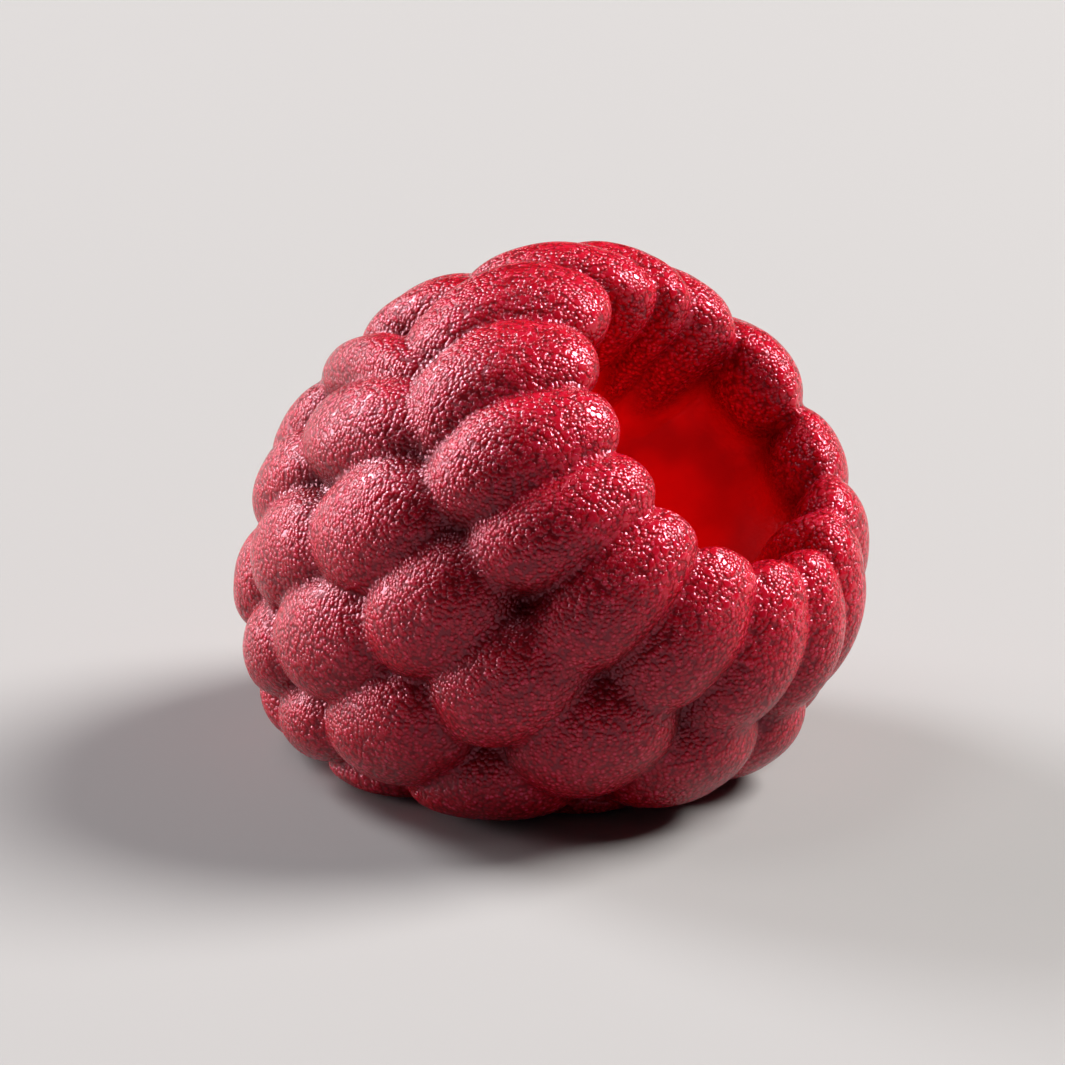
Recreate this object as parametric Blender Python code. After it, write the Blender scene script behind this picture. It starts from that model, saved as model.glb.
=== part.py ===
"""A picked raspberry lying on its side, its hollow facing up and to +X.

The fruit grew as one piece, so it is one closed body. A cup shaped outline is
turned about the fruit's own axis, drupelets are raised from it ring by ring,
and the whole is laid down and settles on a flat spot.
"""
from math import cos, pi, radians, sin, sqrt

import bmesh
import bpy
import numpy as np

MM = 0.001

# The cup, over the drupelets' tops
WIDEST = 11.8 * MM          # radius at the widest place
TIP_DEPTH = 13.9 * MM       # from the widest place down to the tip
LIP_RISE = 8.95 * MM        # from the widest place up to the lip's top
LIP_RADIUS = 6.6 * MM       # radius of the lip's top
HOLLOW_RADIUS = 4.7 * MM    # hollow just inside the lip
HOLLOW_TURN = 4.2 * MM      # height over which the lip turns inwards
HOLLOW_END_RADIUS = 3.2 * MM
HOLLOW_END = -4.5 * MM      # end of the hollow, from the widest place
HOLLOW_CAP = 3.0 * MM       # rounding at the end of the hollow

# How it lies
AXIS_RISE = radians(42.4)   # the axis leans up from level by this much
SAG = 0.95                  # it sags a little under its own weight
FLOOR = -9.15 * MM          # the table, from the widest place's centre
GIVE = 0.6 * MM             # how softly the underside gives way
FLAT = 0.1 * MM             # the soft skin presses flat below this height
BULGE = 0.11                # it spreads by this much where it meets the table
BULGE_AT = -1.5 * MM        # the middle that it spreads from

# The drupelets
STAND = 2.5 * MM            # how far tops stand above the floor between them
STAND_INSIDE = 0.5 * MM     # the same, deep inside the hollow
FADE_FROM, FADE_TO = 2.0 * MM, 12.0 * MM  # run from the lip over which one becomes the other
TOP = 0.93                  # height of an ordinary drupelet, over STAND
UNEVEN = 0.05               # random difference in height
CREASE = 0.2                # rounding where two drupelets meet, over STAND
PIT = 0.05                  # height of the deepest places between drupelets
STEEPEST = 0.7              # a drupelet's side falls away evenly from here outwards
TIPWARD = 0.1               # drupelets are fuller towards the tip by this much
LIP_AT = 31.5 * MM          # run of the outline from the tip to the lip's top
SEED = 7

# Each ring: run from the tip, half lengths towards the tip and the lip, half width
# over the drupelet's share of the ring, then the bearings of its drupelets about the
# axis, 0 being the uppermost. The rest is for single drupelets, counted from 0:
# "lean" in degrees for each 3 mm of run, "hang" the same past a rim drupelet's crest,
# and in mm how much longer it is towards the lip ("reach") or the tip ("drop") and how
# far it lies up the cup ("shift"), then how much fuller it is towards the hollow
# ("nose") and how tall beside the others ("tall").
RIM = {
    "run": 29.4, "tipward": 7.4, "lipward": 6.4, "spread": 0.70, "flare": 0.9,
    "bearings": [13, 41.5, 66.5, 89.5, 111, 135, 158.5, 179, 198, 220, 246, 279, 310, 330, 347],
    "lean": {0: -8.5, 1: -4, 2: -1, 3: 2.3, 5: 1.5, 6: 2.3, 7: 1.5, 8: 4.6, 9: 2.3, 14: -3},
    "reach": {0: 1.5, 1: 1.5, 2: 1.2, 3: 0.4, 8: 1.2, 9: -0.4, 10: -0.2, 12: 2.2, 13: 3.0,
              14: 3.2},
    "hang": {8: 2.5, 9: -1.5, 10: -2.5, 11: -3.5, 12: -4.5, 13: -6, 14: -5},
    "drop": {4: 0.9, 5: 0.4, 6: 0.9},
    "nose": {0: 0.35, 1: 0.5, 2: 0.35, 3: 0.2, 8: 0.2, 11: 0.2, 12: 0.3, 13: 0.3, 14: 0.35},
    "tall": {8: 0.97, 9: 0.97, 11: 1.1},
}
SHOULDER = {
    "run": 20.4, "tipward": 4.2, "lipward": 4.3, "spread": 0.68,
    "bearings": [20, 40, 64.5, 87.5, 110, 133.5, 158.5, 182, 203, 224, 246, 268, 291, 313,
                 334, 352, 7],
    "lean": {0: 10, 1: 5, 2: 1},
    "drop": {0: 1.2},
    "shift": {0: 0.3, 2: -0.4, 3: -0.3, 4: 0.2, 16: 2.2},
}
BELLY = {
    "run": 14.2, "tipward": 4.1, "lipward": 4.1, "spread": 0.68,
    "bearings": [10, 30, 52, 78, 105.5, 133, 158, 182, 205, 227, 249, 270, 291, 312, 332, 351],
    "lean": {0: 4, 1: 4, 2: 4, 3: 2},
}
LOWER = {
    "run": 8.7, "tipward": 3.3, "lipward": 3.4, "spread": 0.66,
    "bearings": [66 + 30 * i for i in range(12)],
}
CROWN = {
    "run": 4.5, "tipward": 2.7, "lipward": 2.8, "spread": 0.64,
    "bearings": [84 + 60 * i for i in range(6)],
}
END = {
    "run": 1.4, "tipward": 2.2, "lipward": 2.3, "spread": 0.62,
    "bearings": [60 + 120 * i for i in range(3)],
}
RINGS = [RIM, SHOULDER, BELLY, LOWER, CROWN, END]

GRID = 30                   # faces along each edge of the starting cube
COLOUR = (0.42, 0.022, 0.05, 1.0)
ROUGHNESS = 0.42


def cup_outline():
    """Run, radius and height of the cup from the tip, over the lip, to the hollow's end."""
    t = np.linspace(0, pi / 2, 400)
    pieces = [
        np.c_[WIDEST * np.sin(t), -TIP_DEPTH * np.cos(t)],
        np.c_[LIP_RADIUS + (WIDEST - LIP_RADIUS) * np.cos(t), LIP_RISE * np.sin(t)],
        np.c_[HOLLOW_RADIUS + (LIP_RADIUS - HOLLOW_RADIUS) * (1 - np.sin(t)),
              LIP_RISE - HOLLOW_TURN * (1 - np.cos(t))],
        np.c_[HOLLOW_END_RADIUS * np.cos(t), HOLLOW_END + HOLLOW_CAP * (1 - np.sin(t))],
    ]
    path = np.vstack(pieces)
    run = np.r_[0, np.cumsum(np.hypot(*np.diff(path, axis=0).T))]
    keep = np.r_[True, np.diff(run) > 1e-9]
    run, path = run[keep], path[keep]
    even = np.linspace(0, run[-1], 1200)
    return even, np.interp(even, run, path[:, 0]), np.interp(even, run, path[:, 1])


def smooth_step(value, start, end):
    t = np.clip((value - start) / (end - start), 0, 1)
    return t * t * (3 - 2 * t)


def merge(a, b):
    """The higher of two surfaces, rounded where they meet."""
    near = np.maximum(CREASE - np.abs(a - b), 0) / CREASE
    return np.maximum(a, b) + near ** 3 * CREASE / 6


def dome(off):
    """Height of one drupelet: round on top, its sides falling away evenly."""
    return (np.sqrt(np.maximum(1 - STEEPEST, 1 - off))
            - np.maximum(off - STEEPEST, 0) / (2 * sqrt(1 - STEEPEST)))


def drupelet_relief(run, bearing, radius, slope, outline):
    """Height of the drupelets, 0 on the floor between them and about 1 on their tops."""
    chance = np.random.default_rng(SEED)
    relief = np.full_like(run, PIT)
    for ring in RINGS:
        own_radius = np.interp(ring["run"] * MM, outline[0], outline[1])
        bearings = np.array(ring["bearings"], float)
        order = np.sort(bearings % 360)

        def own(name, usual=0.0):
            return ring.get(name, {}).get(i, usual)

        for i, place in enumerate(bearings):
            near = np.abs((order - place + 180) % 360 - 180)
            width = radians(np.sort(near)[1:3].mean()) * own_radius * ring["spread"]
            lean_at, lean_up = (28, 0) if ring is RIM else (ring["run"], 1.3)
            up = np.clip((run / MM - lean_at) / 3, -1.3, lean_up)
            over = np.clip((run / MM - lean_at) / 3, 0, 4)
            middle = radians(place) + radians(own("lean")) * up + radians(own("hang")) * over
            turn = (bearing - middle + pi) % (2 * pi) - pi
            across = 2 * radius * np.sin(turn / 2)
            along = run - (ring["run"] + own("shift") - chance.uniform(-0.15, 0.15)) * MM
            if ring is not RIM:
                along = along - radius * slope * (1 - np.cos(turn))
            tipward, lipward = ring["tipward"] + own("drop"), ring["lipward"] + own("reach")
            half = np.where(along < 0, tipward, lipward) * MM
            flare = (np.maximum(radius, 0.1 * MM) / own_radius) ** ring.get("flare", 0.2)
            off = np.abs(along / half) ** 2.3 + np.abs(across / (width * flare)) ** 2.2
            full = (1 + TIPWARD * np.clip(-along / half, 0, 1)
                    + own("nose") * np.clip(along / half, 0, 1))
            high = (TOP + chance.uniform(-UNEVEN, UNEVEN)) * own("tall", 1.0)
            relief = merge(relief, high * full * dome(off))
    return relief


def lay_down(points):
    """From the fruit's own axis to where it lies, settled on the table."""
    across, side, along = points.T
    x = -sin(AXIS_RISE) * across + cos(AXIS_RISE) * along
    y = -side
    z = (cos(AXIS_RISE) * across + sin(AXIS_RISE) * along) * SAG
    z = FLOOR + GIVE * np.log1p(np.exp(np.minimum((z - FLOOR) / GIVE, 50)))
    z = np.maximum(z, FLOOR + FLAT)
    low = np.clip((z - FLOOR) / -FLOOR, 0, 1)
    wide = 1 + BULGE * (1 - low) ** 1.5
    placed = np.c_[BULGE_AT + (x - BULGE_AT) * wide, y * wide, z]
    low, high = placed.min(axis=0), placed.max(axis=0)
    return placed - [(low[0] + high[0]) / 2, (low[1] + high[1]) / 2, low[2]]


def raspberry_points(cube):
    """Carries the points of a cube of half size 1 onto the raspberry."""
    ball = np.tan(cube * pi / 4)
    ball /= np.linalg.norm(ball, axis=1)[:, None]
    bearing = np.arctan2(ball[:, 1], ball[:, 0])
    outline = cup_outline()
    run, radius, height = outline
    slope_r, slope_z = np.gradient(radius, run), np.gradient(height, run)
    area = np.r_[0, np.cumsum((radius[1:] + radius[:-1]) / 2 * np.diff(run))]
    here = np.interp((1 + ball[:, 2]) / 2, area / area[-1], run)
    r, z = np.interp(here, run, radius), np.interp(here, run, height)
    rise_r, rise_z = np.interp(here, run, slope_r), np.interp(here, run, slope_z)
    size = np.hypot(rise_r, rise_z)
    relief = drupelet_relief(here, bearing, r, rise_r, outline)
    inside = smooth_step(here, LIP_AT + FADE_FROM, LIP_AT + FADE_TO)
    depth = (relief - 1) * (STAND * (1 - inside) + STAND_INSIDE * inside)
    r, z = r + rise_z / size * depth, z - rise_r / size * depth
    return lay_down(np.c_[r * np.cos(bearing), r * np.sin(bearing), z])


def flesh():
    material = bpy.data.materials.new("raspberry_flesh")
    material.use_nodes = True
    shader = material.node_tree.nodes["Principled BSDF"]
    shader.inputs["Base Color"].default_value = COLOUR
    shader.inputs["Roughness"].default_value = ROUGHNESS
    material.diffuse_color = COLOUR
    return material


def build():
    for old in list(bpy.data.objects):
        bpy.data.objects.remove(old, do_unlink=True)
    collection = bpy.data.collections.new("raspberry")
    bpy.context.scene.collection.children.link(collection)

    shape = bmesh.new()
    bmesh.ops.create_cube(shape, size=2)
    bmesh.ops.subdivide_edges(shape, edges=shape.edges[:], cuts=GRID - 1, use_grid_fill=True)
    shape.verts.ensure_lookup_table()
    places = raspberry_points(np.array([v.co[:] for v in shape.verts]))
    for vertex, place in zip(shape.verts, places):
        vertex.co = place
    bmesh.ops.triangulate(shape, faces=shape.faces[:])
    bmesh.ops.recalc_face_normals(shape, faces=shape.faces[:])
    mesh = bpy.data.meshes.new("raspberry")
    shape.to_mesh(mesh)
    shape.free()
    mesh.shade_smooth()
    mesh.materials.append(flesh())
    fruit = bpy.data.objects.new("raspberry", mesh)
    collection.objects.link(fruit)


build()
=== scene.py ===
from math import cos, e, pi, radians, sin

import bpy
import numpy as np
from mathutils import Matrix, Vector


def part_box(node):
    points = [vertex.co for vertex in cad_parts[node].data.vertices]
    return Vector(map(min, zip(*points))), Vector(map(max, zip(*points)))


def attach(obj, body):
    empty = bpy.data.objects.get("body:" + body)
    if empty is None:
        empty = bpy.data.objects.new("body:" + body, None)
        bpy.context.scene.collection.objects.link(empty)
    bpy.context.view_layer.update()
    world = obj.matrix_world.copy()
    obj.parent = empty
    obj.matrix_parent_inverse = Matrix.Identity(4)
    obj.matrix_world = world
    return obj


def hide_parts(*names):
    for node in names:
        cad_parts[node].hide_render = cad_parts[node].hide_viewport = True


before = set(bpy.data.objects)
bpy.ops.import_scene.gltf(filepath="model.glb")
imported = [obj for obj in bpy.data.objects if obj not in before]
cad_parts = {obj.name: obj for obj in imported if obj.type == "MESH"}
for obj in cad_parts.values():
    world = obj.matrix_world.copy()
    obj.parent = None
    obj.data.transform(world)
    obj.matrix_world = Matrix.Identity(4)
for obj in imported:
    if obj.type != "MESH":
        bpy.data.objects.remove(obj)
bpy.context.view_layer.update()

# A picked raspberry on its side, its hollow facing up and forward.
# The fruit is shaped in millimetres about its own axis, then laid down in metres.
mm = 0.001


# Wire and Net write node trees as sums

class Wire:
    def __init__(self, net, socket):
        self.net = net
        self.socket = socket

    def other(self, name):  # another output of the same node
        return Wire(self.net, self.socket.node.outputs[name])

    def math(self, operation, *others):
        return self.net.node("ShaderNodeMath", {"operation": operation}, [self, *others])

    def __add__(self, other):
        return self.math("ADD", other)

    def __sub__(self, other):
        return self.math("SUBTRACT", other)

    def __mul__(self, other):
        return self.math("MULTIPLY", other)

    def __truediv__(self, other):
        return self.math("DIVIDE", other)

    def __pow__(self, other):
        return self.math("POWER", other)

    def __rsub__(self, other):
        return self * -1 + other

    def __abs__(self):
        return self.math("ABSOLUTE")

    __radd__ = __add__

    def clamp(self, low=0.0, high=1.0):
        return self.math("MAXIMUM", low).math("MINIMUM", high)

    def ease(self, start, end):  # 0 at start, 1 at end, smooth between
        return self.net.node("ShaderNodeMapRange", {"interpolation_type": "SMOOTHSTEP"},
                             {"Value": self, "From Min": start, "From Max": end})


class Net:
    def __init__(self, tree):
        self.tree = tree

    def node(self, kind, settings=None, values=None, out=0):
        node = self.tree.nodes.new(kind)
        for key, value in (settings or {}).items():
            setattr(node, key, value)
        values = values or {}
        pairs = enumerate(values) if isinstance(values, list) else values.items()
        for key, value in pairs:
            named = [s for s in node.inputs if s.name == key and s.enabled]
            self.feed(named[0] if named else node.inputs[key], value)
        shown = [s for s in node.outputs if s.enabled]
        return Wire(self, node.outputs[out] if isinstance(out, str) else shown[out])

    def feed(self, socket, value):
        if isinstance(value, Wire):
            self.tree.links.new(value.socket, socket)
        else:
            socket.default_value = value


# the cup that carries the drupelets, sizes over their tops

cup = {
    "widest": 11.8,           # radius
    "tipDepth": 13.9,
    "lipRise": 8.95,
    "lipRadius": 6.6,
    "hollowRadius": 4.7,
    "hollowTurn": 4.2,        # height over which the lip turns inwards
    "hollowEndRadius": 3.2,
    "hollowEnd": -4.5,
    "hollowCap": 3.0,         # rounding at the hollow's end
    "arcSteps": 400,          # points on each of the outline's four arcs
    "outlineSteps": 1200,     # points on all of it, evenly spaced
    "grid": 127,              # faces along each edge of the starting cube
}


def cupOutline():
    # run, radius and height from the tip, over the lip, to the end of the hollow
    t = np.linspace(0, pi / 2, cup["arcSteps"])
    lip, hollow = cup["lipRadius"], cup["hollowRadius"]
    path = np.vstack([
        np.c_[cup["widest"] * np.sin(t), -cup["tipDepth"] * np.cos(t)],
        np.c_[lip + (cup["widest"] - lip) * np.cos(t), cup["lipRise"] * np.sin(t)],
        np.c_[hollow + (lip - hollow) * (1 - np.sin(t)),
              cup["lipRise"] - cup["hollowTurn"] * (1 - np.cos(t))],
        np.c_[cup["hollowEndRadius"] * np.cos(t),
              cup["hollowEnd"] + cup["hollowCap"] * (1 - np.sin(t))],
    ])
    run = np.r_[0, np.cumsum(np.hypot(*np.diff(path, axis=0).T))]
    keep = np.r_[True, np.diff(run) > 1e-6]  # arcs share the points that they meet in
    even = np.linspace(0, run[-1], cup["outlineSteps"])
    radius = np.interp(even, run[keep], path[keep, 0])
    height = np.interp(even, run[keep], path[keep, 1])
    return even, radius, height


def cupSkin(outline):
    # an even mesh on the cup that remembers where each point is on the outline
    run, radius, height = outline
    count = cup["grid"] + 1
    lines = np.linspace(-1, 1, count)
    u, v = (a.ravel() for a in np.meshgrid(lines, lines, indexing="ij"))
    one = np.ones_like(u)
    sides = [(one, u, v), (-one, v, u), (v, one, u), (u, -one, v), (u, v, one), (v, u, -one)]
    points = np.vstack([np.c_[side] for side in sides])
    corner = (np.arange(count - 1)[:, None] * count + np.arange(count - 1)).ravel()
    quad = np.c_[corner, corner + count, corner + count + 1, corner + 1]
    quads = np.vstack([quad + i * count * count for i in range(len(sides))])

    # the cube's sides share the points on their edges
    rounded = np.round(points * 1e5).astype(int)
    first, back = np.unique(rounded, axis=0, return_index=True, return_inverse=True)[1:]
    points, quads = points[first], back.ravel()[quads]

    # cube to ball to cup, with faces of about the same area
    ball = np.tan(points * pi / 4)
    ball /= np.linalg.norm(ball, axis=1)[:, None]
    bearing = np.arctan2(ball[:, 1], ball[:, 0])
    area = np.r_[0, np.cumsum((radius[1:] + radius[:-1]) / 2 * np.diff(run))]
    here = np.interp((1 + ball[:, 2]) / 2, area / area[-1], run)
    r, z = np.interp(here, run, radius), np.interp(here, run, height)
    slopeR = np.interp(here, run, np.gradient(radius, run))
    slopeZ = np.interp(here, run, np.gradient(height, run))
    size = np.hypot(slopeR, slopeZ)
    turned = np.c_[np.cos(bearing), np.sin(bearing)]
    outward = np.c_[turned * (slopeZ / size)[:, None], -slopeR / size]

    mesh = bpy.data.meshes.new("cup")
    mesh.from_pydata(np.c_[turned * r[:, None], z].tolist(), [], quads.tolist())
    for name, values in (("run", here), ("bearing", bearing), ("radius", r), ("slope", slopeR)):
        mesh.attributes.new(name, "FLOAT", "POINT").data.foreach_set("value", values)
    directions = mesh.attributes.new("outward", "FLOAT_VECTOR", "POINT")
    directions.data.foreach_set("vector", outward.ravel())
    return mesh


# The drupelets ring by ring, lengths in mm and angles in degrees. Each ring gives the run of
# the outline from the tip, half lengths towards the tip and the lip, half width over the
# drupelet's share of the ring, and bearings about the axis, 0 being the uppermost. Wrap is 0
# where a drupelet bends with its ring and 1 where it keeps its own straight shape, flare is
# how much its width follows the cup's, and it leans from leanAt, for leanUp steps to the lip.
# The rest is for single drupelets, counted from 0: lean for each step of run, hang for each
# step past leanAt, reach and drop for one that is longer towards the lip or the tip, shift for
# one that lies further up the cup, nose for one that is fuller towards the hollow, and tall
# for its height beside the others.

drupelets = {
    "rim": {
        "run": 29.4, "tipward": 7.4, "lipward": 6.4, "spread": 0.70, "flare": 0.9, "wrap": 0,
        "leanAt": 28.0, "leanUp": 0.0,
        "bearings": [13, 41.5, 66.5, 89.5, 111, 135, 158.5, 179, 198, 220, 246, 279, 310, 330, 347],
        "lean": {0: -8.5, 1: -4, 2: -1, 3: 2.3, 5: 1.5, 6: 2.3, 7: 1.5, 8: 4.6, 9: 2.3, 14: -3},
        "reach": {0: 1.5, 1: 1.5, 2: 1.2, 3: 0.4, 8: 1.2, 9: -0.4, 10: -0.2, 12: 2.2, 13: 3.0,
                  14: 3.2},
        "hang": {8: 2.5, 9: -1.5, 10: -2.5, 11: -3.5, 12: -4.5, 13: -6, 14: -5},
        "drop": {4: 0.9, 5: 0.4, 6: 0.9},
        "nose": {0: 0.35, 1: 0.5, 2: 0.35, 3: 0.2, 8: 0.2, 11: 0.2, 12: 0.3, 13: 0.3, 14: 0.35},
        "tall": {8: 0.97, 9: 0.97, 11: 1.1},
    },
    "shoulder": {
        "run": 20.4, "tipward": 4.2, "lipward": 4.3, "spread": 0.68,
        "bearings": [20, 40, 64.5, 87.5, 110, 133.5, 158.5, 182, 203, 224, 246, 268, 291, 313,
                     334, 352, 7],
        "lean": {0: 10, 1: 5, 2: 1},
        "drop": {0: 1.2},
        "shift": {0: 0.3, 2: -0.4, 3: -0.3, 4: 0.2, 16: 2.2},
    },
    "belly": {
        "run": 14.2, "tipward": 4.1, "lipward": 4.1, "spread": 0.68,
        "bearings": [10, 30, 52, 78, 105.5, 133, 158, 182, 205, 227, 249, 270, 291, 312, 332, 351],
        "lean": {0: 4, 1: 4, 2: 4, 3: 2},
    },
    "lower": {
        "run": 8.7, "tipward": 3.3, "lipward": 3.4, "spread": 0.66,
        "bearings": [66 + 30 * i for i in range(12)],
    },
    "crown": {
        "run": 4.5, "tipward": 2.7, "lipward": 2.8, "spread": 0.64,
        "bearings": [84 + 60 * i for i in range(6)],
    },
    "end": {
        "run": 1.4, "tipward": 2.2, "lipward": 2.3, "spread": 0.62,
        "bearings": [60 + 120 * i for i in range(3)],
    },
}
plainRing = {"flare": 0.2, "wrap": 1, "leanUp": 1.3}  # where a ring doesn't say
chances = {
    "seed": 7,
    "place": 0.15,            # how far a drupelet strays along the outline
    "top": 0.93,              # height of an ordinary drupelet, over stand
    "uneven": 0.05,           # random difference in height
}
growth = {
    "Stand": 2.5,             # tops over the floor between drupelets
    "Stand inside": 0.5,      # the same deep in the hollow
    "Fade from": 2.0,         # run from the lip over which one becomes the other
    "Fade to": 12.0,
    "Crease": 0.2,            # rounding where two meet, over stand
    "Pit": 0.05,              # height of the deepest places between them
    "Steepest": 0.7,          # a drupelet's side falls away evenly from here outwards
    "Along power": 2.3,       # how square a drupelet's ends are
    "Across power": 2.2,      # and its sides
    "Tipward": 0.1,           # fuller towards the tip
    "Lean step": 3.0,         # run over which a drupelet leans or hangs by its degrees
    "Lean down": -1.3,        # it leans for this many steps towards the tip
    "Hang over": 4.0,         # and hangs for this many towards the hollow
    "Farthest": 11.0,         # run past which a drupelet raises nothing
    "Thinnest": 0.1,          # least radius of the cup that widths go by
    "Lip at": 31.5,           # run to the lip's top
    "Waver": 0.16,            # about how far outlines wander
    "Waver scale": 0.28,      # of its noise
    "Axis rise": radians(42.4),  # from level
    "Sag": 0.95,              # heights shrink to this under its own weight
    "Floor": -9.15,           # the table, from the widest circle's middle
    "Give": 0.6,              # how softly the underside gives way
    "Flat": 0.1,              # the soft skin presses flat below this height
    "Bulge": 0.11,            # it spreads by this much where it meets the table
    "Bulge power": 1.5,       # how quickly that fades upwards
    "Bulge at": -1.5,         # the middle that it spreads from
}


def drupeletSeeds(outline):
    # one point for each drupelet, with its sizes as attributes
    chance = np.random.default_rng(chances["seed"])
    rows = []
    for given in drupelets.values():
        ring = {**plainRing, **given}
        ownRadius = np.interp(ring["run"], outline[0], outline[1])
        bearings = np.array(ring["bearings"], float) % 360
        for i, place in enumerate(bearings):
            own = {name: ring.get(name, {}).get(i, 0)
                   for name in ("lean", "hang", "reach", "drop", "shift", "nose")}
            near = np.sort(np.abs((bearings - place + 180) % 360 - 180))
            stray = chance.uniform(-chances["place"], chances["place"])
            high = chances["top"] + chance.uniform(-chances["uneven"], chances["uneven"])
            rows.append({
                "seedRun": ring["run"] + own["shift"] - stray,
                "seedBearing": radians(place),
                "seedWidth": radians(near[1:3].mean()) * ownRadius * ring["spread"],
                "seedRadius": ownRadius,
                "seedTipward": ring["tipward"] + own["drop"],
                "seedLipward": ring["lipward"] + own["reach"],
                "seedLean": radians(own["lean"]),
                "seedHang": radians(own["hang"]),
                "seedLeanAt": ring.get("leanAt", ring["run"]),
                "seedLeanUp": ring["leanUp"],
                "seedFlare": ring["flare"],
                "seedWrap": ring["wrap"],
                "seedNose": own["nose"],
                "seedHigh": high * ring.get("tall", {}).get(i, 1.0),
            })
    mesh = bpy.data.meshes.new("drupeletSeeds")
    mesh.from_pydata([(0, 0, 0)] * len(rows), [], [])
    for name in rows[0]:
        values = [row[name] for row in rows]
        mesh.attributes.new(name, "FLOAT", "POINT").data.foreach_set("value", values)
    seeds = bpy.data.objects.new("drupeletSeeds", mesh)
    bpy.context.scene.collection.objects.link(seeds)
    return seeds


def growthTree():
    tree = bpy.data.node_groups.new("growDrupelets", "GeometryNodeTree")
    face = tree.interface
    face.new_socket("Geometry", in_out="INPUT", socket_type="NodeSocketGeometry")
    face.new_socket("Seeds", in_out="INPUT", socket_type="NodeSocketObject")
    face.new_socket("Skin", in_out="INPUT", socket_type="NodeSocketMaterial")
    for name in growth:
        face.new_socket(name, in_out="INPUT", socket_type="NodeSocketFloat")
    face.new_socket("Geometry", in_out="OUTPUT", socket_type="NodeSocketGeometry")
    net = Net(tree)
    given = net.node("NodeGroupInput")
    size = given.other

    def stored(name, kind="FLOAT"):
        return net.node("GeometryNodeInputNamedAttribute", {"data_type": kind}, {"Name": name})

    def store(geometry, name, value, selection=True):
        return net.node("GeometryNodeStoreNamedAttribute", {"data_type": "FLOAT", "domain": "POINT"},
                        {"Geometry": geometry, "Selection": selection, "Name": name, "Value": value})

    def waver(origin):  # wanders about 0, in its own way for each origin
        moved = net.node("ShaderNodeVectorMath", {"operation": "ADD"},
                         [net.node("GeometryNodeInputPosition"), (origin, origin * 2, origin * 3)])
        noise = net.node("ShaderNodeTexNoise",
                         values={"Vector": moved, "Scale": size("Waver scale"), "Detail": 1.0})
        return (noise - 0.5) * 4 * size("Waver")  # the noise strays up to about 0.3 from 0.5

    # outlines wander a little, so that no two drupelets are alike
    skin = store(given, "alongRun", stored("run") + waver(11.0))
    skin = store(skin, "sideways", waver(37.0))
    skin = store(skin, "relief", size("Pit"))

    # each seed in turn raises its drupelet where it is the highest
    seeds = net.node("GeometryNodeObjectInfo", values={"Object": given.other("Seeds")}, out="Geometry")
    count = net.node("GeometryNodeAttributeDomainSize", {"component": "MESH"}, {"Geometry": seeds})
    start = tree.nodes.new("GeometryNodeRepeatInput")
    end = tree.nodes.new("GeometryNodeRepeatOutput")
    start.pair_with_output(end)
    net.feed(start.inputs["Iterations"], count)
    net.feed(start.inputs["Geometry"], skin)
    turn = Wire(net, start.outputs["Iteration"])

    def seed(name):
        return net.node("GeometryNodeSampleIndex", {"data_type": "FLOAT"},
                        {"Geometry": seeds, "Value": stored(name), "Index": turn})

    # how far along and across the drupelet a point of the cup is
    away = stored("alongRun") - seed("seedRun")
    steps = (stored("run") - seed("seedLeanAt")) / size("Lean step")
    lean = seed("seedLean") * steps.clamp(size("Lean down"), seed("seedLeanUp"))
    hang = seed("seedHang") * steps.clamp(0.0, size("Hang over"))
    angle = (stored("bearing") - (seed("seedBearing") + lean + hang)).math("WRAP", pi, -pi)
    across = stored("radius") * (angle * 0.5).math("SINE") * 2 + stored("sideways")
    along = away - stored("radius") * stored("slope") * (1 - angle.math("COSINE")) * seed("seedWrap")

    # 0 in the drupelet's middle and 1 on its edge
    tipSide = along.math("LESS_THAN", 0.0)
    share = abs(along) / (seed("seedTipward") * tipSide + seed("seedLipward") * (1 - tipSide))
    flare = (stored("radius").math("MAXIMUM", size("Thinnest")) / seed("seedRadius")) ** seed("seedFlare")
    sideShare = abs(across / (seed("seedWidth") * flare))
    off = share ** size("Along power") + sideShare ** size("Across power")

    # its dome, round on top and with even sides
    steepest = size("Steepest")
    fallen = (off - steepest).math("MAXIMUM", 0.0) / ((1 - steepest).math("SQRT") * 2)
    dome = (1 - off).math("MAXIMUM", 1 - steepest).math("SQRT") - fallen
    full = 1 + (size("Tipward") * tipSide + seed("seedNose") * (1 - tipSide)) * share.clamp()
    higher = stored("relief").math("SMOOTH_MAX", seed("seedHigh") * full * dome, size("Crease"))
    raised = store(Wire(net, start.outputs["Geometry"]), "relief", higher,
                   abs(away).math("LESS_THAN", size("Farthest")))
    net.feed(end.inputs["Geometry"], raised)

    # the relief sinks into the hollow's smooth wall
    grown = Wire(net, end.outputs["Geometry"])
    past = stored("run") - size("Lip at")
    grown = store(grown, "inside", past)
    fade = past.ease(size("Fade from"), size("Fade to"))
    stand = size("Stand") * (1 - fade) + size("Stand inside") * fade
    depth = (stored("relief") - 1) * stand
    offset = net.node("ShaderNodeVectorMath", {"operation": "SCALE"},
                      {"Vector": stored("outward", "FLOAT_VECTOR"), "Scale": depth})
    grown = net.node("GeometryNodeSetPosition", values={"Geometry": grown, "Offset": offset})

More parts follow.
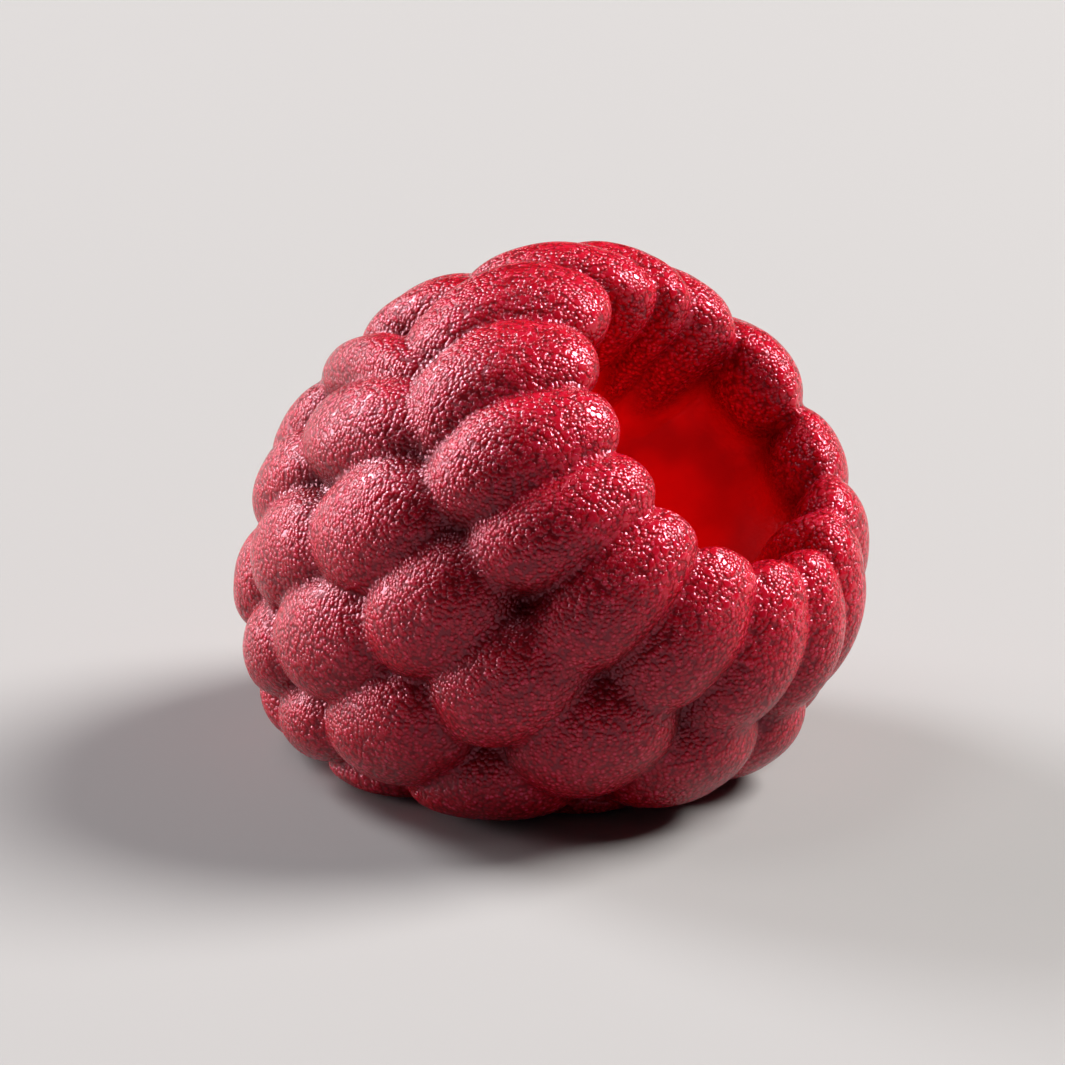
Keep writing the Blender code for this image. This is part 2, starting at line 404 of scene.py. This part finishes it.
    # laid down on its side, it sags, settles on a flat spot and spreads there
    up = net.node("ShaderNodeSeparateXYZ", values=[net.node("GeometryNodeInputPosition")], out="X")
    side, axis = up.other("Y"), up.other("Z")
    sine, cosine = size("Axis rise").math("SINE"), size("Axis rise").math("COSINE")
    high = (up * cosine + axis * sine) * size("Sag") - size("Floor")
    most = 50.0  # keeps the power of e within what a number can hold
    soft = ((high / size("Give")).math("MINIMUM", most).math("EXPONENT") + 1).math("LOGARITHM", e)
    settled = (soft * size("Give")).math("MAXIMUM", size("Flat"))
    wide = 1 + size("Bulge") * (1 + settled / size("Floor")).clamp() ** size("Bulge power")
    forward = (axis * cosine - up * sine - size("Bulge at")) * wide + size("Bulge at")
    laid = net.node("ShaderNodeCombineXYZ",
                    values=[forward * mm, side * wide * -mm, (settled - size("Flat")) * mm])
    grown = net.node("GeometryNodeSetPosition", values={"Geometry": grown, "Position": laid})
    grown = net.node("GeometryNodeSetShadeSmooth", values={"Geometry": grown})
    grown = net.node("GeometryNodeRealizeInstances", values={"Geometry": grown})
    grown = net.node("GeometryNodeSetMaterial",
                     values={"Geometry": grown, "Material": given.other("Skin")})
    net.feed(tree.nodes.new("NodeGroupOutput").inputs[0], grown)
    return tree


def makeFruit(material):
    outline = cupOutline()
    bud = bpy.data.objects.new("bud", cupSkin(outline))
    bpy.context.scene.collection.objects.link(bud)
    seeds = drupeletSeeds(outline)
    modifier = bud.modifiers.new("drupelets", "NODES")
    tree = growthTree()
    modifier.node_group = tree
    settings = {"Seeds": seeds, "Skin": material, **growth}
    for item in tree.interface.items_tree:
        if item.name in settings and item.in_out == "INPUT":
            modifier[item.identifier] = settings[item.name]
    evaluated = bud.evaluated_get(bpy.context.evaluated_depsgraph_get())
    grown = bpy.data.meshes.new_from_object(evaluated)
    for name in ("run", "bearing", "radius", "slope", "outward", "alongRun", "sideways"):
        grown.attributes.remove(grown.attributes[name])
    for old in (bud, seeds):
        bpy.data.objects.remove(old, do_unlink=True)

    # over the frame's node: same middle, same floor
    places = np.empty(len(grown.vertices) * 3)
    grown.vertices.foreach_get("co", places)
    places = places.reshape(-1, 3)
    low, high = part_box("raspberry")
    middle = (places.min(axis=0) + places.max(axis=0)) / 2
    shift = ((low[0] + high[0]) / 2 - middle[0], (low[1] + high[1]) / 2 - middle[1],
             low[2] - places[:, 2].min())
    grown.transform(Matrix.Translation(shift))
    grown.name = "raspberryFruit"
    fruit = bpy.data.objects.new("raspberryFruit", grown)
    bpy.context.scene.collection.objects.link(fruit)
    return fruit


# The skin: fine moist pebbles, painted shade in the creases and between the pebbles, painted
# highlight on the pebble tops, and a hollow brightened by painted glow. A pair says where something
# starts and where it is complete, on a scale from 0 to 1 unless it says mm.

skinLook = {
    "flesh": (0.45, 0.002, 0.014),
    "ripe": (0.33, 0.0015, 0.008),            # riper patches
    "gapShade": (0.14, 0.0005, 0.003),             # painted shade between pebbles
    "pebbleTopHighlight": (0.66, 0.03, 0.08),          # painted highlight on the tops of the pebbles, standing in for their glints
    "creaseShade": (0.10, 0.0003, 0.0015),         # painted shade between drupelets
    # the hollow's red and a dimmer red for its cloudy patches, far brighter than the flesh: partly the
    # hollow's own red, partly painted glow of light through its wall
    "hollow": (0.84, 0.0015, 0.0015),
    "hollowDimGlow": (0.52, 0.0005, 0.001),
    "lightThrough": (0.075, 0.0001, 0.0002),  # light that reaches the hollow through its wall
    "ripeShare": 0.7,
    "gapShare": 0.85,
    "topShare": 0.35,                         # of the painted highlight on the tops, and how much that varies
    "topVaries": 0.5,

    "pebble": 0.17 * mm,
    "bigPebble": 0.27 * mm,
    "pebbleHeight": 0.07 * mm,
    "pebbleSteep": 1.9,                       # how quickly a pebble falls away in its cell
    "scatter": 0.95,                          # how unevenly the cells lie
    "fineLift": 0.4,                          # heights over pebbleHeight
    "fineVaries": 0.4,
    "bigLift": 0.35,
    "gapHeight": (0.0, 0.55),
    "topHeight": (0.5, 0.8),

    "drop": 0.40 * mm,                        # drops of juice about the rim
    "dropSteep": 4.2,
    "dropLift": 0.8,
    "dropSide": (0.0, 0.7),                   # a drop is steep at its edge and flat on top
    "dropChance": (0.1, 0.3),                 # some are lower or missing
    "dropHides": 0.95,                        # how much it covers pebbles, and the painted highlight on their tops
    "dropHidesTop": 0.8,
    "wetFrom": (-4.5, -2.5),                  # mm past the lip's top, as the next
    "wetTo": (1.0, 3.5),

    "patches": {"Scale": 240.0, "Detail": 3.0},
    "clumps": {"Scale": 1600.0, "Detail": 1.0},
    "wall": {"Scale": 330.0, "Detail": 1.5},  # cloudy red in the hollow
    "creaseRelief": (0.78, 0.3),              # relief is about 0 in creases and 1 on tops
    "topRelief": (0.35, 0.8),
    "hollowRelief": (0.75, 0.25),             # the hollow's red fills its creases first
    "hollowCreases": (2.5, 6.0),              # mm past the lip's top, as the next
    "hollowWhole": (6.0, 10.0),

    "roughness": 0.27,
    "glossHeight": (0.1, 0.6),
    "clumpGloss": 0.09,                       # these two make it smoother
    "dropGloss": 0.12,
    "hollowDull": 0.35,                       # this rougher
    "hollowBump": 0.1,                        # strength of the bump there, 1 elsewhere
    "specular": 0.9,
    "specularTint": (1.0, 0.34, 0.46),
    "subsurface": 0.75,
    "glow": 1.8 * mm,                         # how far light travels in the flesh
    "glowColour": (1.0, 0.12, 0.08),          # over that, for red, green and blue
}


def fleshSkin():
    material = bpy.data.materials.new("raspberrySkin")
    material.use_nodes = True
    tree = material.node_tree
    tree.nodes.clear()
    net = Net(tree)
    look = skinLook

    def paint(name):
        return (*look[name], 1.0)

    def mix(factor, a, b):
        return net.node("ShaderNodeMix", {"data_type": "RGBA"}, {"Factor": factor, "A": a, "B": b})

    def stored(name):
        return net.node("ShaderNodeAttribute", {"attribute_name": name}, out="Fac")

    def noise(name):
        return net.node("ShaderNodeTexNoise", values={"Vector": place, **look[name]})

    def pebbles(size, steep):  # height of round pebbles, and a chance of its own for each
        cell = net.node("ShaderNodeTexVoronoi", {"feature": "F1"},
                        {"Vector": place, "Scale": 1 / size, "Randomness": look["scatter"]},
                        out="Distance")
        own = net.node("ShaderNodeSeparateColor", values=[cell.other("Color")])
        return (1 - cell * cell * steep).clamp(), own

    place = net.node("ShaderNodeTexCoord", out="Object")
    relief, inside = stored("relief"), stored("inside")
    outside = 1 - inside.ease(*look["hollowCreases"]) * relief.ease(*look["hollowRelief"])
    outside = outside * (1 - inside.ease(*look["hollowWhole"]))
    wet = inside.ease(*look["wetFrom"]) * (1 - inside.ease(*look["wetTo"]))

    # pebbles, and drops that lie over them
    fine, chance = pebbles(look["pebble"], look["pebbleSteep"])
    big, bigChance = pebbles(look["bigPebble"], look["pebbleSteep"])
    drop, dropChance = pebbles(look["drop"], look["dropSteep"])
    drop = drop.ease(*look["dropSide"]) * dropChance.ease(*look["dropChance"]) * wet
    height = fine * (look["fineLift"] + chance * look["fineVaries"]) + big * bigChance * look["bigLift"]
    height = height * (1 - drop * look["dropHides"]) + drop * look["dropLift"]

    patches = noise("patches").ease(0.35, 0.7)
    clumps = noise("clumps").ease(0.35, 0.65)
    wall = noise("wall").ease(0.35, 0.62)
    onTop = relief.ease(*look["topRelief"])

    # from the flesh up: riper patches, painted shade between the pebbles, painted highlight on their
    # tops, painted shade in the creases, and the hollow with its painted glow
    colour = mix(patches * look["ripeShare"], paint("flesh"), paint("ripe"))
    # painted shade: darker colour in the low gaps between the pebbles
    gapShadeMask = (1 - height.ease(*look["gapHeight"])) * look["gapShare"] * outside
    colour = mix(gapShadeMask, colour, paint("gapShade"))
    # painted highlight: paler colour on the pebble tops, standing in for their glints
    tops = height.ease(*look["topHeight"]) * (look["topShare"] + chance * look["topVaries"])
    tops = tops * (1 - drop * look["dropHidesTop"]) * outside
    colour = mix(tops, colour, paint("pebbleTopHighlight"))
    # painted shade: darker colour in the creases between drupelets
    colour = mix(relief.ease(*look["creaseRelief"]), colour, paint("creaseShade"))
    # the hollow: its own red, brightened as painted glow of light through the wall, in cloudy patches
    colour = mix(1 - outside, colour, mix(wall, paint("hollow"), paint("hollowDimGlow")))

    gloss = height.ease(*look["glossHeight"]) * onTop * clumps * look["clumpGloss"]
    roughness = look["roughness"] - gloss - drop * look["dropGloss"] + (1 - outside) * look["hollowDull"]
    bump = net.node("ShaderNodeBump", values={
        "Strength": look["hollowBump"] + outside * (1 - look["hollowBump"]),
        "Distance": look["pebbleHeight"],
        "Height": height,
    })
    shader = net.node("ShaderNodeBsdfPrincipled", values={
        "Base Color": colour,
        "Roughness": roughness,
        "Normal": bump,
        "Subsurface Weight": look["subsurface"],
        "Subsurface Radius": look["glowColour"],
        "Subsurface Scale": look["glow"],
        "Emission Color": mix(1 - outside, (0.0, 0.0, 0.0, 1.0), paint("lightThrough")),
        "Emission Strength": 1.0,
        "Specular IOR Level": look["specular"],
        "Specular Tint": paint("specularTint"),
    })
    net.feed(tree.nodes.new("ShaderNodeOutputMaterial").inputs["Surface"], shader)
    return material


skin = fleshSkin()
print("skin made")
fruit = makeFruit(skin)
print("fruit grown:", len(fruit.data.polygons), "faces")
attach(fruit, "root")
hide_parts("raspberry")


# floor, light and camera

studio = {
    "floorSize": 6.0,
    "floorColour": (0.29, 0.286, 0.282),
    "floorRoughness": 0.8,
    "worldColour": (0.55, 0.56, 0.60),
    "worldStrength": 0.05,
    "lights": {
        # azimuth and elevation of the light as seen from the fruit, distance, size, watts, colour
        "key": (133, 44, 1.0, 0.48, 23.0, (1.0, 0.97, 0.95)),
        "side": (-100, 30, 1.0, 0.40, 11.0, (0.98, 0.97, 1.0)),
        "low": (-80, 7, 1.0, 0.4, 8.0, (1.0, 0.80, 0.84)),
        "top": (-60, 64, 1.0, 0.42, 1.8, (1.0, 0.98, 0.97)),
    },
}
shot = {
    "azimuth": 26.6, "elevation": 20.0,
    "middle": (0.48, -0.06, 9.05),  # of the fruit's widest circle, in mm
    "across": 562.0,                # and where that is in the picture, in pixels
    "down": 534.5,
    "pixels": 1065,
    "frameWidth": 41.2 * mm,        # what the picture spans at the fruit
    "distance": 0.2,
    "nearest": 0.01,                # what is closer isn't rendered
    "sensorWidth": 36.0,            # of a full-frame camera, in mm
}


def pointing(azimuth, elevation):
    # direction from the fruit towards a place at this azimuth and elevation; azimuth 0 is towards -Y
    around, above = radians(azimuth), radians(elevation)
    return Vector((sin(around) * cos(above), -cos(around) * cos(above), sin(above)))


def makeStudio(middle):
    floor = bpy.data.meshes.new("floor")
    half = studio["floorSize"] / 2
    corners = [(-half, -half, 0), (half, -half, 0), (half, half, 0), (-half, half, 0)]
    floor.from_pydata(corners, [], [(0, 1, 2, 3)])
    floorObject = bpy.data.objects.new("floor", floor)
    bpy.context.scene.collection.objects.link(floorObject)
    paint = bpy.data.materials.new("paleFloor")
    paint.use_nodes = True
    shader = paint.node_tree.nodes["Principled BSDF"]
    shader.inputs["Base Color"].default_value = (*studio["floorColour"], 1)
    shader.inputs["Roughness"].default_value = studio["floorRoughness"]
    floor.materials.append(paint)

    world = bpy.data.worlds.new("studio")
    world.use_nodes = True
    background = world.node_tree.nodes["Background"]
    background.inputs["Color"].default_value = (*studio["worldColour"], 1)
    background.inputs["Strength"].default_value = studio["worldStrength"]
    bpy.context.scene.world = world
    bpy.context.scene.view_settings.view_transform = "Standard"

    for name, (azimuth, elevation, distance, size, watts, colour) in studio["lights"].items():
        lamp = bpy.data.lights.new(name, "AREA")
        lamp.shape = "DISK"
        lamp.size = size
        lamp.energy = watts
        lamp.color = colour
        light = bpy.data.objects.new(name, lamp)
        way = pointing(azimuth, elevation)
        light.location = middle + way * distance
        light.rotation_euler = way.to_track_quat("Z", "Y").to_euler()
        bpy.context.scene.collection.objects.link(light)


def makeCamera(middle):
    back = pointing(shot["azimuth"], shot["elevation"])
    right = Vector((cos(radians(shot["azimuth"])), sin(radians(shot["azimuth"])), 0))
    up = back.cross(right)
    pixel = shot["frameWidth"] / shot["pixels"]
    aim = middle - right * (shot["across"] - shot["pixels"] / 2) * pixel \
        + up * (shot["down"] - shot["pixels"] / 2) * pixel
    lens = bpy.data.cameras.new("camera")
    lens.sensor_width = shot["sensorWidth"]
    lens.lens = lens.sensor_width * shot["distance"] / shot["frameWidth"]
    lens.clip_start = shot["nearest"]
    camera = bpy.data.objects.new("camera", lens)
    camera.location = aim + back * shot["distance"]
    camera.rotation_euler = back.to_track_quat("Z", "Y").to_euler()
    bpy.context.scene.collection.objects.link(camera)
    bpy.context.scene.camera = camera


fruitMiddle = Vector(shot["middle"]) * mm
makeStudio(fruitMiddle)
makeCamera(fruitMiddle)
print("studio and camera set")
